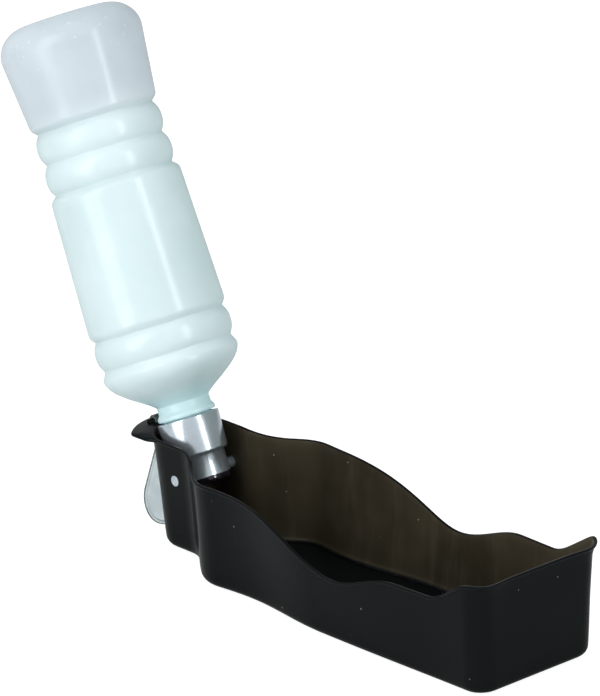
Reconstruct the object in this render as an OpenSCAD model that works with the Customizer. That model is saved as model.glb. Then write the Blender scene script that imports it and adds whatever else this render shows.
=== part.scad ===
// Folding travel drinker: a squeeze bottle whose cap swings on two trunnions in a long trough.
// The bottle leans back over the throat to pour, and folds forward to lie in the trough.
// Millimetres. The origin is on the resting plane, straight below the fold axis; +X runs along
// the trough towards its wide end, +Z is up. Bottle and cap are drawn along their own axis,
// with the distance s counted from the fold axis towards the bottle's foot.

/* [Trough] */
// Wall thickness of the trough
wall = 1.5; // [1.2:0.1:2.2]
// Radius of the rounded edge between floor and walls
floor_round = 4; // [2:0.5:6]
// Fold axis to the outside of the end wall, at the floor
trough_reach = 229.4; // [229.2:0.2:242]
// Outward lean of the end wall over the throat height
end_lean = 3.1; // [1:0.1:5]
// Radius of the two upright corners at the wide end
corner_r = 10.5; // [6:0.5:12]
// Centre of the rounded back of the throat, behind the fold axis
throat_back = 6.8; // [6.4:0.1:9]
// Outer half width of the throat at the floor
throat_low = 15.2; // [15:0.1:18]
// Outer half width of the throat at its rim
throat_high = 20; // [19.6:0.1:22]
// Outer half width of the basin at the floor
basin_low = 36.9; // [36:0.1:40]
// Outer half width of the basin at throat-rim height
basin_high = 42.3; // [41.5:0.1:46]
// How much the basin narrows towards the wide end, at throat-rim height
basin_taper = 3.2; // [0:0.1:4]
// How much the basin narrows towards the wide end, at the floor
floor_taper = 1.2; // [0:0.1:2]
// Start of the shoulder where the throat widens into the basin
shoulder_x = 4.2; // [2:0.2:8]
// Length of that shoulder
shoulder_l = 42.2; // [38:0.2:52]
// Share of the shoulder's length in each of its two bends
shoulder_bend = 0.37; // [0.3:0.01:0.5]
// Centre of the waist behind the shoulder
waist_x = 68; // [60:1:76]
// Half length of the waist
waist_l = 55; // [45:1:60]
// Depth of the waist on each side
waist_d = 4.6; // [0:0.1:5]

/* [Rim line] */
// Rim height at the throat
throat_rim = 56; // [54:0.5:60]
// Rim height at the front of the basin
basin_rim = 52.4; // [48:0.2:54]
// Rim height at the drinking dip
dip_rim = 31.8; // [28:0.2:40]
// Rim height at the hump behind the dip
hump_rim = 41.8; // [36:0.2:46]
// Rim height at the end wall
end_rim = 53.6; // [50:0.2:55]
// Where the rim starts to fall towards the dip
fall_x = 48; // [35:1:55]
// Lowest point of the dip
dip_x = 136; // [125:1:145]
// Top of the hump
hump_x = 178; // [170:1:185]
// Where the rim starts to climb to the end wall, in front of that wall
climb_back = 30; // [28:1:36]
// Length of that climb
climb_l = 28; // [16:1:28]
// Height of the ears at the two end corners, above the end wall
ear_h = 0.8; // [0:0.2:3]
// Radius of the rolled bead along the end wall and round its corners
bead_r = 1.5; // [1:0.1:2]

/* [Throat ledge] */
// Radius of the back edge of the ledge behind the throat
ledge_r = 30; // [29:0.5:33]
// Centre of that edge, behind the fold axis
ledge_back = 6.5; // [6:0.5:8]
// Half width of the ledge
ledge_w = 22.6; // [22:0.2:24]
// Thickness of the ledge
ledge_t = 1.6; // [1.2:0.1:2.4]
// Radius of the bar across the ledge that the clip hangs on
bar_r = 1.2; // [1:0.1:1.5]

/* [Belt clip] */
// Thickness of the clip
clip_t = 1.2; // [1:0.1:1.5]
// Width of the strap over the bar
clip_w = 10; // [8:0.5:13]
// Room between the throat wall and the clip, just under the ledge
belt_gap = 1.7; // [1.5:0.1:2.2]
// Radius of the drop-shaped tongue
tongue_r = 14.6; // [10:0.1:15]
// Length of the short leg behind the bar
leg_l = 6; // [5:0.5:8]
// Length of the belt-holding nub
nub_l = 1.6; // [1:0.2:2]

/* [Fold hinge] */
// Height of the fold axis
pivot_z = 37.3; // [37:0.5:42]
// Lean of the bottle behind the upright when it pours
lean = 23; // [20:1:24]
// Radius of the two trunnions
trunnion_r = 2.7; // [2:0.1:3.2]
// Radial running clearance of the trunnions in the trough
trunnion_gap = 0.06; // [0.02:0.01:0.1]

/* [Cap] */
// Outer radius of the cap's lower barrel
barrel_r = 12.1; // [11.5:0.1:13]
// Length of the barrel below the fold axis
barrel_drop = 2.8; // [2.8:0.1:4]
// Where the threaded skirt starts, above the fold axis
skirt_s = 8.6; // [8.2:0.1:10.5]
// Outer radius of the skirt at its foot
skirt_low_r = 14.3; // [14:0.1:14.6]
// Outer radius of the skirt at its mouth
skirt_r = 15.1; // [14.7:0.1:15.6]
// Length of the skirt
skirt_l = 18.2; // [17:0.2:19.4]
// Wall of the barrel
barrel_wall = 1.6; // [1.2:0.1:2]
// Bore through the cap's floor
cap_bore_r = 7.5; // [6:0.5:8.5]
// Thickness of the cap's floor
cap_floor = 1.4; // [1:0.1:2]

/* [Valve] */
// Height of the ring's spigot that holds the valve in the barrel
ring_h = 2.4; // [2:0.1:3.2]
// How far the ring's collar stands out of the barrel
ring_lip = 2.9; // [1.5:0.1:3.2]
// Radius of the outlet in that ring
outlet_r = 6.5; // [5:0.5:7.5]
// Thickness of the silicone valve's flange
valve_t = 1.2; // [0.8:0.1:1.6]
// Width of the cross slit in the valve
slit_w = 0.3; // [0.2:0.1:0.5]

/* [Bottle] */
// Fold axis to the bottle's foot
bottle_reach = 226; // [220:0.2:226]
// Wall thickness of the bottle
bottle_wall = 1; // [0.8:0.1:1.3]
// Outer radius of the neck under its thread
neck_r = 11.7; // [11.4:0.1:11.8]
// Radius of the neck's bead above the cap
bead_neck_r = 14.1; // [13.4:0.1:14.6]
// Largest radius of the shoulder
shoulder_r = 33.2; // [31:0.1:33.5]
// Radius of the body next to the shoulder rib
body_near_r = 33.6; // [31:0.1:33.7]
// Radius of the body next to the foot ribs
body_far_r = 31.9; // [30:0.1:33]
// Depth of the grooves between the ribs
groove_d = 2.5; // [1.5:0.1:3]
// Length of the rib next to the shoulder
rib_pitch = 14.3; // [12:0.1:15]
// Length of each of the two ribs next to the foot
foot_rib_pitch = 15; // [12:0.1:15.4]
// First groove, next to the shoulder
first_groove = 58.7; // [57:0.5:62]
// Groove that ends the foot
last_groove = 175; // [170:0.5:180]
// Radius of the foot where it meets its groove
foot_near_r = 31.2; // [30:0.1:32]
// Largest radius of the foot
foot_r = 34.6; // [33:0.1:35]
// Rounding of the foot's edge, measured across the bottle
foot_round = 15; // [10:0.5:17]
// Rounding of the foot's edge, measured along the bottle
foot_round_l = 14; // [8:0.5:17]
// Depth of the hollow under the foot
punt_d = 4; // [2:0.5:6]
// Thickness of the washer in the cap
washer_t = 1.5; // [1:0.1:2]

/* [Thread] */
// Pitch of the bottle thread
pitch = 2.5; // [2.2:0.1:3.2]
// Turns of each thread
turns = 1; // [0.75:0.25:1.5]
// Height of a thread ridge
ridge_h = 0.85; // [0.7:0.05:0.9]

/* [Hidden] */
$fn = 96;

black = [0.10, 0.11, 0.11];
clear = [0.72, 0.79, 0.80, 0.6];
silver = [0.62, 0.64, 0.67];
rubber = [0.05, 0.05, 0.06];
aqua = [0.80, 0.91, 0.92, 0.8];

slack = 0.05;      // between flat faces of pieces on different bodies
seat_gap = 0.3;    // between the bar and the strap over it
fit_gap = 0.3;     // round a piece that passes through a slot
eps = 0.01;

function smooth(t) = let (u = max(0, min(1, t))) u * u * (3 - 2 * u);
function bell(t) = abs(t) < 1 ? 0.5 + 0.5 * cos(180 * t) : 0;
function mix(a, b, t) = a + (b - a) * t;
// Straight climb from 0 to 1 between two bends, each of which takes the share e of the length
function ramp(t, e) = t <= 0 ? 0 : t >= 1 ? 1
    : t < e ? t * t / (2 * e * (1 - e))
    : t > 1 - e ? 1 - (1 - t) * (1 - t) / (2 * e * (1 - e))
    : (t - e / 2) / (1 - e);

// ---- trough plan: one outline for each height, as its half on the +Y side ----
function up(z) = z / throat_rim;
function throat_w(z) = mix(throat_low, throat_high, up(z));
function basin_w(x, z) = mix(basin_low, basin_high, up(z))
    - mix(floor_taper, basin_taper, up(z)) * smooth((x - dip_x) / (trough_reach - dip_x));
function waist_at(x, z) = waist_d * bell((x - mix(waist_x, waist_x - 6, up(z))) / waist_l);
function half_w(x, z) = let (s = ramp((x - shoulder_x - 1.4 * up(z)) / shoulder_l, shoulder_bend))
    mix(throat_w(z), basin_w(x, z) - waist_at(x, z), s);
function end_x(z) = trough_reach + end_lean * up(z);

back_n = 10;      // facets of a quarter of the throat's back
side_n = 48;      // stations along a side
corner_n = 6;     // facets of an upright corner

// Half outline at height z, moved inwards by d along its own normal
function half_outline(z, d) = let (
        r = throat_w(z), xe = end_x(z), xc = xe - corner_r,
        back = [for (i = [0 : back_n]) let (a = 180 - 90 * i / back_n)
            [-throat_back + (r - d) * cos(a), (r - d) * sin(a)]],
        side = [for (i = [1 : side_n]) let (
                x = mix(-throat_back, xc, i / side_n), h = 0.2,
                w = half_w(x, z), k = (half_w(x + h, z) - half_w(x - h, z)) / (2 * h),
                m = sqrt(1 + k * k))
            [x + d * k / m, w - d / m]],
        yc = half_w(xc, z) - corner_r,
        corner = [for (i = [1 : corner_n]) let (a = 90 - 90 * i / corner_n)
            [xc + (corner_r - d) * cos(a), yc + (corner_r - d) * sin(a)]])
    concat(back, side, corner);

// Closed ring: the +Y half, then its mirror image back to the start
function ring(z, d, zz) = let (h = half_outline(z, d), n = len(h))
    concat([for (p = h) [p[0], p[1], zz]],
           [for (i = [n - 1 : -1 : 1]) [h[i][0], -h[i][1], zz]]);

// Solid through a stack of rings with equal point counts, lowest first; the ends are closed by
// strips across the two mirrored halves
module stack(rings) {
    n = len(rings[0]);
    m = len(rings);
    function strip(o) = [for (i = [0 : (n - 1) / 2 - 1])
        each concat([[o + i, o + n - i - 1, o + i + 1]],
                    i > 0 ? [[o + i, o + n - i, o + n - i - 1]] : [])];
    points = [for (r = rings) for (p = r) p];
    sides = [for (j = [0 : m - 2]) for (i = [0 : n - 1]) let (k = (i + 1) % n, a = j * n, b = a + n)
        each [[a + i, b + k, b + i], [a + i, a + k, b + k]]];
    polyhedron(points, concat(strip(0), sides, [for (f = strip((m - 1) * n)) [f[0], f[2], f[1]]]));
}

top_z = throat_rim + ear_h + 4;
round_steps = 3;
// Height and inset of step i of the rounded floor edge of radius r
function round_z(i, r) = r * (1 - cos(90 * i / round_steps));
function round_in(i, r) = r * (1 - sin(90 * i / round_steps));

// Solid inside the outer skin, or inside the inner one when d is the wall
module trough_solid(d) {
    r = floor_round - d * 0.6;
    stack(concat(
        [for (i = [0 : round_steps]) let (z = d + round_z(i, r)) ring(z, d + round_in(i, r), z)],
        [for (z = [21, 39, top_z + d]) ring(z, d, z)]));
}

// Rim height along the trough; the ears peak just before the end wall
ear_x = trough_reach - 4;
climb_x = trough_reach - climb_back;
function rim_z(x) = x < dip_x
    ? mix(throat_rim, basin_rim, smooth((x - 4) / 24))
        - (basin_rim - dip_rim) * smooth(pow(max(0, (x - fall_x) / (dip_x - fall_x)), 1.5))
    : mix(dip_rim, hump_rim, smooth((x - dip_x) / (hump_x - dip_x)))
        + (end_rim - hump_rim) * smooth((x - climb_x) / climb_l)
        + ear_h * bell((x - ear_x) / 9);

module above_rim() {
    far = end_x(throat_rim) + 20;
    rotate([90, 0, 0])
        linear_extrude(4 * basin_high, center = true)
            polygon(concat([[-throat_back - throat_high - 20, throat_rim]],
                           [for (x = [0 : 3 : trough_reach]) [x, rim_z(x)]],
                           [[trough_reach + 2, end_rim], [far, end_rim], [far, top_z + 5],
                            [-throat_back - throat_high - 20, top_z + 5]]));
}

// ---- clip places, from the throat's back wall ----
wall_x = -throat_back - throat_high;              // outside of the back wall at the rim
tongue_x = wall_x - belt_gap - clip_t;            // outer face of the clip's long leg
hook_r = bar_r + seat_gap + clip_t;               // outside of the strap over the bar
bar_x = tongue_x + clip_t - hook_r;               // middle of the bar
bar_z = throat_rim + 0.2;

// Upright prism along the middle of the throat's wall, from z0, h high
module throat_core(z0, h, grow) {
    r = throat_high - wall / 2 + grow;
    translate([-throat_back, 0, z0]) cylinder(r = r, h = h);
    translate([-throat_back, -r, z0]) cube([throat_back + 5, 2 * r, h]);
}

// Plan of the ledge: a round back edge between two straight sides that run into the throat's walls
module ledge_plan() {
    rear = -ledge_back - ledge_r - 1;
    rounding = 6;
    offset(r = rounding) offset(delta = -rounding) intersection() {
        translate([-ledge_back, 0]) circle(r = ledge_r);
        polygon([[rear, -ledge_w], [-15, -ledge_w], [0, -15], [0, 15], [-15, ledge_w], [rear, ledge_w]]);
    }
}

// Rolled bead on the outside of the end wall's rim, ending in a ball behind each corner
module end_bead() {
    run = corner_r - 0.2 * bead_r;
    xc = end_x(end_rim) - corner_r;
    yc = half_w(xc, end_rim) - corner_r;
    translate([xc, 0, end_rim - bead_r + 0.3]) {
        translate([run, 0, 0]) rotate([90, 0, 0]) cylinder(r = bead_r, h = 2 * yc, center = true);
        for (side = [-1, 1]) translate([0, side * yc, 0]) {
            rotate([0, 0, side > 0 ? 0 : -90]) rotate_extrude(angle = 90) translate([run, 0]) circle(r = bead_r, $fn = 24);
            translate([0, side * run, 0]) sphere(r = bead_r);
        }
    }
}

module trough() {
    color(black) difference() {
        union() {
            difference() {
                trough_solid(0);
                above_rim();
                trough_solid(wall);
            }
            difference() {
                translate([0, 0, throat_rim - ledge_t]) linear_extrude(ledge_t - eps) ledge_plan();
                throat_core(throat_rim - ledge_t - 1, ledge_t + 2, 0);
            }
            translate([bar_x, 0, bar_z]) rotate([90, 0, 0])
                cylinder(r = bar_r, h = clip_w + 5, center = true);
            end_bead();
        }
        translate([0, 0, pivot_z]) rotate([90, 0, 0])
            cylinder(r = trunnion_r + trunnion_gap, h = 4 * throat_high, center = true);
        for (side = [0, 1])
            translate([bar_x - hook_r - 2 * fit_gap + side * (hook_r + bar_r + 2 * fit_gap),
                       -clip_w / 2 - fit_gap, throat_rim - ledge_t - 1])
                cube([hook_r - bar_r + 2 * fit_gap - side * fit_gap, clip_w + 2 * fit_gap, ledge_t + 2]);
    }
}

// ---- belt clip ----
tongue_z = 20;           // middle of the drop's round end
tongue_low = 2.6;        // lowest point of the tongue
neck_z = 45;             // where the drop has narrowed to the strap's width

module tongue_outline() {
    hull() {
        translate([0, tongue_z]) circle(r = tongue_r, $fn = 48);
        translate([0, tongue_low + 0.8 * tongue_r]) circle(r = 0.8 * tongue_r, $fn = 48);
        translate([-clip_w / 2, neck_z]) square([clip_w, 1]);
    }
}

module belt_clip() {
    color(clear) union() {
        translate([tongue_x, 0, 0]) rotate([90, 0, 90]) linear_extrude(clip_t) tongue_outline();
        translate([tongue_x, -clip_w / 2, neck_z]) cube([clip_t, clip_w, bar_z + eps - neck_z]);
        translate([bar_x, 0, bar_z]) rotate([90, 0, 0]) difference() {
            cylinder(r = hook_r, h = clip_w, center = true);
            cylinder(r = hook_r - clip_t, h = clip_w + 2, center = true);
            translate([-2 * hook_r, -4 * hook_r, -clip_w]) cube([4 * hook_r, 4 * hook_r, 2 * clip_w]);
        }
        translate([bar_x - hook_r, -clip_w / 2, bar_z - leg_l]) cube([clip_t, clip_w, leg_l + eps]);
        translate([bar_x - hook_r, 0, bar_z - leg_l]) rotate([90, 0, 0])
            cylinder(r = 0.6, h = clip_w - 2, center = true);
        translate([tongue_x + clip_t - eps, 0, tongue_z - 3]) rotate([0, 90, 0]) cylinder(r = 2.2, h = nub_l);
    }
}

// ---- cap, washer, valve and bottle: along s from the fold axis ----
module on_axis() {
    translate([0, 0, pivot_z]) rotate([0, -lean, 0]) children();
}

floor_s = skirt_s + cap_floor;                    // inside floor of the skirt
mouth_s = floor_s + washer_t + 2 * slack;         // mouth of the bottle's neck
skirt_top = skirt_s + skirt_l;
thread_gap = 0.35;                                // crest of one thread to root of the other
skirt_in_r = neck_r + ridge_h + thread_gap;       // root of the cap's thread
trunnion_reach = half_w(0, pivot_z);              // outside of the throat wall at the fold axis

// Helical ridge: r0 is buried in its wall, r1 is the crest, from height s0
module ridge(r0, r1, s0) {
    steps = ceil(24 * turns);
    foot = 0.8;
    crest = 0.35;
    function at(i, r, z) = let (a = 360 * turns * i / steps)
        [r * cos(a), r * sin(a), s0 + z + pitch * turns * i / steps];
    quads = [for (i = [0 : steps]) each [at(i, r0, -foot), at(i, r1, -crest), at(i, r1, crest), at(i, r0, foot)]];
    flip = r1 < r0;
    faces = concat(
        [[0, 1, 2], [0, 2, 3]],
        [for (i = [0 : steps - 1]) for (j = [0 : 3]) let (a = 4 * i, k = (j + 1) % 4)
            each [[a + j, a + 4 + j, a + 4 + k], [a + j, a + 4 + k, a + k]]],
        [[4 * steps, 4 * steps + 2, 4 * steps + 1], [4 * steps, 4 * steps + 3, 4 * steps + 2]]);
    polyhedron(quads, flip ? faces : [for (f = faces) [f[0], f[2], f[1]]]);
}

thread_s = mouth_s + 3;                           // start of the bottle's thread

module cap() {
    color(silver) on_axis() union() {
        rotate_extrude()
            polygon([[barrel_r, -barrel_drop], [barrel_r, skirt_s - 0.4], [skirt_low_r - 0.4, skirt_s],
                     [skirt_low_r, skirt_s + 0.5], [skirt_r, skirt_top - 0.4], [skirt_r - 0.4, skirt_top],
                     [skirt_in_r, skirt_top], [skirt_in_r, floor_s], [cap_bore_r, floor_s],
                     [cap_bore_r, skirt_s - 1], [barrel_r - barrel_wall, skirt_s - 2.5],
                     [barrel_r - barrel_wall, -barrel_drop]]);
        ridge(skirt_in_r + 0.35, skirt_in_r - ridge_h, thread_s + pitch / 2);
        for (side = [-1, 1])
            rotate([side * 90, 0, 0]) translate([0, 0, barrel_r - barrel_wall / 2])
                cylinder(r = trunnion_r, h = trunnion_reach - barrel_r + barrel_wall / 2);
    }
}

module cap_washer() {
    color(rubber) on_axis() translate([0, 0, floor_s + slack]) difference() {
        cylinder(r = neck_r - 0.1, h = washer_t);
        translate([0, 0, -1]) cylinder(r = cap_bore_r, h = washer_t + 2);
    }
}

valve_s = -barrel_drop + ring_h / 2;              // outer face of the valve's flange
ring_in_r = barrel_r - barrel_wall - slack;       // spigot of the ring, a push fit in the barrel

module valve_ring() {
    color(rubber) on_axis() rotate_extrude()
        polygon([[outlet_r, -barrel_drop - ring_lip], [barrel_r - 1.1, -barrel_drop - ring_lip],
                 [barrel_r - 0.3, -barrel_drop - ring_lip + 0.8], [barrel_r - 0.3, -barrel_drop - slack],
                 [ring_in_r, -barrel_drop - slack], [ring_in_r, valve_s], [outlet_r, valve_s]]);
}

module outlet_valve() {
    color(rubber) on_axis() difference() {
        union() {
            translate([0, 0, valve_s + slack]) cylinder(r = ring_in_r, h = valve_t);
            translate([0, 0, valve_s + slack + valve_t])
                rotate_extrude() polygon([[0, 0], [outlet_r, 0], [outlet_r - 1.5, 1.6], [0, 1.6]]);
        }
        translate([0, 0, valve_s]) rotate_extrude()
            polygon([[0, 1.4], [outlet_r - 2, 1.4], [outlet_r - 0.8, -1], [0, -1]]);
        for (a = [0, 90]) rotate([0, 0, a])
            translate([-slit_w / 2, -outlet_r / 2, valve_s - 1]) cube([slit_w, outlet_r, 6]);
    }
}

// Outline of the bottle from its neck to its foot, as [radius, s]
neck_end = skirt_top + 7.9;
shoulder_end = first_groove - 4;
second_groove = first_groove + rib_pitch;
foot_rib_1 = last_groove - 2 * foot_rib_pitch;
foot_rib_2 = last_groove - foot_rib_pitch;
rib_steps = 8;

function rib(s0, s1, r0, r1, h) = [for (i = [0 : rib_steps]) let (t = i / rib_steps)
    [mix(r0, r1, t) + h * (1 - pow(abs(2 * t - 1), 2.6)), mix(s0, s1, t)]];

near_groove_r = body_near_r - groove_d + 0.2;
far_groove_r = body_far_r - groove_d - 0.7;
edge = 2;                                         // half the length of the rounded edge at a groove

shoulder_pts = [for (i = [0 : 12]) let (t = i / 12)
    [mix(neck_r + 1.1, shoulder_r, pow(sin(90 * pow(t, 0.9)), 1.35)), mix(neck_end, shoulder_end, t)]];
body_pts = concat(
    [for (i = [1 : 3]) let (t = i / 4) [mix(near_groove_r, body_near_r, sin(90 * t)), second_groove + 2 * edge * t]],
    [for (i = [0 : 6]) let (t = i / 6)
        [mix(body_near_r, body_far_r, t), mix(second_groove + 2 * edge, foot_rib_1 - 2 * edge, t)]],
    [for (i = [3 : -1 : 1]) let (t = i / 4) [mix(far_groove_r, body_far_r, sin(90 * t)), foot_rib_1 - 2 * edge * t]]);
foot_pts = concat(
    [[foot_near_r - 0.8, last_groove + edge], [foot_near_r, last_groove + 2 * edge]],
    [for (i = [1 : 5]) let (t = i / 5)
        [mix(foot_near_r, foot_r, t), mix(last_groove + 2 * edge, bottle_reach - foot_round_l, t)]],
    [for (i = [1 : 8]) let (a = 90 * i / 8)
        [foot_r - foot_round * (1 - cos(a)), bottle_reach - foot_round_l + foot_round_l * sin(a)]]);

outside = concat(
    [[neck_r, mouth_s], [neck_r, skirt_top + 0.6], [bead_neck_r, skirt_top + 0.8],
     [bead_neck_r, skirt_top + 3.2], [neck_r + 1.2, skirt_top + 4.4]],
    shoulder_pts,
    rib(first_groove, second_groove, near_groove_r - 0.2, near_groove_r, groove_d - 0.2),
    body_pts,
    rib(foot_rib_1, foot_rib_2, far_groove_r, far_groove_r - 0.3, groove_d),
    [for (p = rib(foot_rib_2, last_groove, far_groove_r - 0.3, far_groove_r - 0.5, groove_d)) if (p[1] > foot_rib_2) p],
    foot_pts);

// Inner skin: the same outline moved in by the wall, from the shoulder on
function normal(p, i) = let (a = p[max(i - 1, 0)], b = p[min(i + 1, len(p) - 1)], d = b - a, m = norm(d))
    [d[1] / m, -d[0] / m];
skin = [for (i = [5 : len(outside) - 1]) outside[i] - bottle_wall * normal(outside, i)];
foot_in = bottle_reach - bottle_wall;
neck_in_r = neck_r - 1.5 * bottle_wall;

module bottle() {
    color(aqua) on_axis() union() {
        rotate_extrude() difference() {
            polygon(concat([[0, mouth_s]], outside, [[foot_r - foot_round - 3, bottle_reach],
                    [12, bottle_reach - punt_d], [0, bottle_reach - punt_d]]));
            polygon(concat([[0, mouth_s - 1], [neck_in_r, mouth_s - 1], [neck_in_r, neck_end - 1]],
                    [for (p = skin) if (p[1] > neck_end && p[1] < foot_in) p],
                    [[foot_r - foot_round - 3, foot_in], [12 - bottle_wall, foot_in - punt_d],
                     [0, foot_in - punt_d]]));
        }
        ridge(neck_r - 0.35, neck_r + ridge_h, thread_s);
    }
}

trough();
belt_clip();
cap();
outlet_valve();
valve_ring();
cap_washer();
bottle();
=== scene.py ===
import bpy
import bmesh
import math
from mathutils import Matrix, Vector


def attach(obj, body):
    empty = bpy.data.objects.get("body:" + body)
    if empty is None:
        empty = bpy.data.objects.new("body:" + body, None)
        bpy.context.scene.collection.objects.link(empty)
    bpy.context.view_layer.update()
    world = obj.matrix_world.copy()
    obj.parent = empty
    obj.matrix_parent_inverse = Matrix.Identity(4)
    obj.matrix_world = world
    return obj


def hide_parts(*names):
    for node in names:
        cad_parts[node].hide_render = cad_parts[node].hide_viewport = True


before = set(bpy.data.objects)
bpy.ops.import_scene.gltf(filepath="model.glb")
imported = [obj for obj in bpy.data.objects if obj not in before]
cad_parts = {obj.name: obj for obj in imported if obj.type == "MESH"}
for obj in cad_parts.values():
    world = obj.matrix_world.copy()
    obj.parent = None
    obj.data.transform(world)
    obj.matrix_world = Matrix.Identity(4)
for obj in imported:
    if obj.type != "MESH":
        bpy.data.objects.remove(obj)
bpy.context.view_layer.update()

MM = 0.001

# ---------------------------------------------------------------- sizes, mm
WALL = 1.5
FLOOR_ROUND = 4.0
REACH = 229.4          # fold axis to the end wall, at the floor
END_LEAN = 3.1
CORNER_R = 10.5
THROAT_BACK = 6.8
THROAT_LOW, THROAT_HIGH = 15.2, 20.0
BASIN_LOW, BASIN_HIGH, BASIN_TAPER, FLOOR_TAPER = 36.9, 42.3, 3.2, 1.2
SHOULDER_X, SHOULDER_L, SHOULDER_BEND, SHOULDER_LEAN = 4.2, 42.2, 0.37, 1.4
WAIST_X, WAIST_L, WAIST_D, WAIST_LEAN = 68.0, 55.0, 4.6, 6.0
THROAT_RIM, BASIN_RIM, DIP_RIM, HUMP_RIM, END_RIM = 56.0, 52.4, 31.8, 41.8, 53.6
STEP_X, STEP_L, FALL_X, DIP_X, HUMP_X = 4.0, 24.0, 48.0, 136.0, 178.0
CLIMB_X, CLIMB_L, EAR_X, EAR_H, EAR_L = REACH - 30, 28.0, REACH - 4, 0.8, 9.0
LEDGE_R, LEDGE_BACK, LEDGE_W, LEDGE_T = 30.0, 6.5, 22.6, 1.6
PIVOT_Z, LEAN = 37.3, 23.0
BAR_R, CLIP_T, CLIP_W, BELT_GAP, TONGUE_R = 1.2, 1.2, 10.0, 1.7, 14.6
TRUNNION_R, TRUNNION_GAP = 2.7, 0.06
SEAT_GAP, FIT_GAP = 0.3, 0.3          # over the clip's bar, and round the clip in its slots
BARREL_R, BARREL_DROP, BARREL_WALL, RING_LIP, OUTLET_R = 12.1, 2.8, 1.6, 2.9, 6.5
SKIRT_S, SKIRT_LOW_R, SKIRT_R, SKIRT_L = 8.6, 14.3, 15.1, 18.2
CAP_BORE_R, CAP_FLOOR, WASHER_T = 7.5, 1.4, 1.5
BOTTLE_REACH, BOTTLE_WALL, NECK_WALL, NECK_R, BEAD_NECK_R = 226.0, 1.0, 1.5, 11.7, 14.1
SHOULDER_R, BODY_NEAR_R, BODY_FAR_R, GROOVE_D = 33.2, 33.6, 31.9, 2.5
RIB_PITCH, FOOT_RIB_PITCH = 14.3, 15.0
FIRST_GROOVE, LAST_GROOVE = 58.7, 175.0
FOOT_NEAR_R, FOOT_R, FOOT_ROUND, FOOT_ROUND_L, PUNT_D = 31.2, 34.6, 15.0, 14.0, 4.0
PITCH, TURNS, RIDGE_H, THREAD_GAP = 2.5, 1.0, 0.85, 0.35

AX = Vector((-math.sin(math.radians(LEAN)), 0.0, math.cos(math.radians(LEAN))))
FOLD = Vector((0.0, 0.0, PIVOT_Z))
ON_AXIS = Matrix.Translation(FOLD * MM) @ Matrix.Rotation(math.radians(-LEAN), 4, "Y")


# ---------------------------------------------------------------- helpers
def smooth(t):
    t = max(0.0, min(1.0, t))
    return t * t * (3 - 2 * t)


def bell(t):
    return 0.5 + 0.5 * math.cos(math.pi * t) if abs(t) < 1 else 0.0


def mix(a, b, t):
    return a + (b - a) * t


def ramp(t, e):
    """Straight climb from 0 to 1 between two bends, each of which takes the share e of the length."""
    t = max(0.0, min(1.0, t))
    if t < e:
        return t * t / (2 * e * (1 - e))
    if t > 1 - e:
        return 1 - (1 - t) ** 2 / (2 * e * (1 - e))
    return (t - e / 2) / (1 - e)


def chaikin(pts, times=2):
    """Rounds the corners of an open polyline, keeping its ends."""
    for _ in range(times):
        out = [pts[0]]
        for a, b in zip(pts[:-1], pts[1:]):
            out.append((mix(a[0], b[0], 0.25), mix(a[1], b[1], 0.25)))
            out.append((mix(a[0], b[0], 0.75), mix(a[1], b[1], 0.75)))
        out.append(pts[-1])
        pts = out
    return pts


def add_mesh(name, verts, faces, mm=True):
    me = bpy.data.meshes.new(name)
    k = MM if mm else 1.0
    me.from_pydata([tuple(c * k for c in v) for v in verts], [], faces)
    me.validate()
    bm = bmesh.new()
    bm.from_mesh(me)
    bmesh.ops.remove_doubles(bm, verts=bm.verts, dist=2e-6)
    bmesh.ops.recalc_face_normals(bm, faces=bm.faces)
    bm.to_mesh(me)
    bm.free()
    for p in me.polygons:
        p.use_smooth = True
    ob = bpy.data.objects.new(name, me)
    bpy.context.scene.collection.objects.link(ob)
    return ob


def skin(rows, cols, closed=True):
    """Quads between rows of cols points each. A closed skin joins the last point of a row to its first."""
    faces = []
    for j in range(rows - 1):
        for i in range(cols if closed else cols - 1):
            k = (i + 1) % cols
            faces.append((j * cols + i, j * cols + k, (j + 1) * cols + k, (j + 1) * cols + i))
    return faces


def sweep(name, sections):
    """Closed skin through sections of equal length, with a face at both ends."""
    m = len(sections[0])
    verts = [v for section in sections for v in section]
    last = len(verts) - m
    ends = [tuple(range(m)), tuple(reversed(range(last, last + m)))]
    return add_mesh(name, verts, skin(len(sections), m) + ends)


def circle(r, n, mid=(0.0, 0.0)):
    """n points (u, v) on a circle round mid."""
    turn = [2 * math.pi * i / n for i in range(n)]
    return [(mid[0] + r * math.cos(a), mid[1] + r * math.sin(a)) for a in turn]


def bridge(a, b, steps):
    """Faces between two rings of vertex numbers, either of which may be a single point."""
    if len(a) == 1 and len(b) == 1:
        return []
    faces = []
    for i in range(steps):
        k = (i + 1) % steps
        if len(a) == 1:
            faces.append((a[0], b[k], b[i]))
        elif len(b) == 1:
            faces.append((a[i], a[k], b[0]))
        else:
            faces.append((a[i], a[k], b[k], b[i]))
    return faces


def lathe(name, profile, steps=128):
    """Closed profile, a list of (radius, s) in mm, turned round the bottle's axis."""
    verts, faces, rings = [], [], []
    for r, s in profile:
        if r < 1e-6:
            rings.append([len(verts)])
            verts.append((0.0, 0.0, s))
        else:
            rings.append(list(range(len(verts), len(verts) + steps)))
            verts += [(x, y, s) for x, y in circle(r, steps)]
    for a, b in zip(rings, rings[1:] + rings[:1]):
        faces += bridge(a, b, steps)
    ob = add_mesh(name, verts, faces)
    ob.data.transform(ON_AXIS)
    return ob


def join(name, objs):
    """Makes one piece of several."""
    bpy.ops.object.select_all(action="DESELECT")
    for o in objs:
        o.select_set(True)
    bpy.context.view_layer.objects.active = objs[0]
    bpy.ops.object.join()
    objs[0].name = name
    return objs[0]


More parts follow.
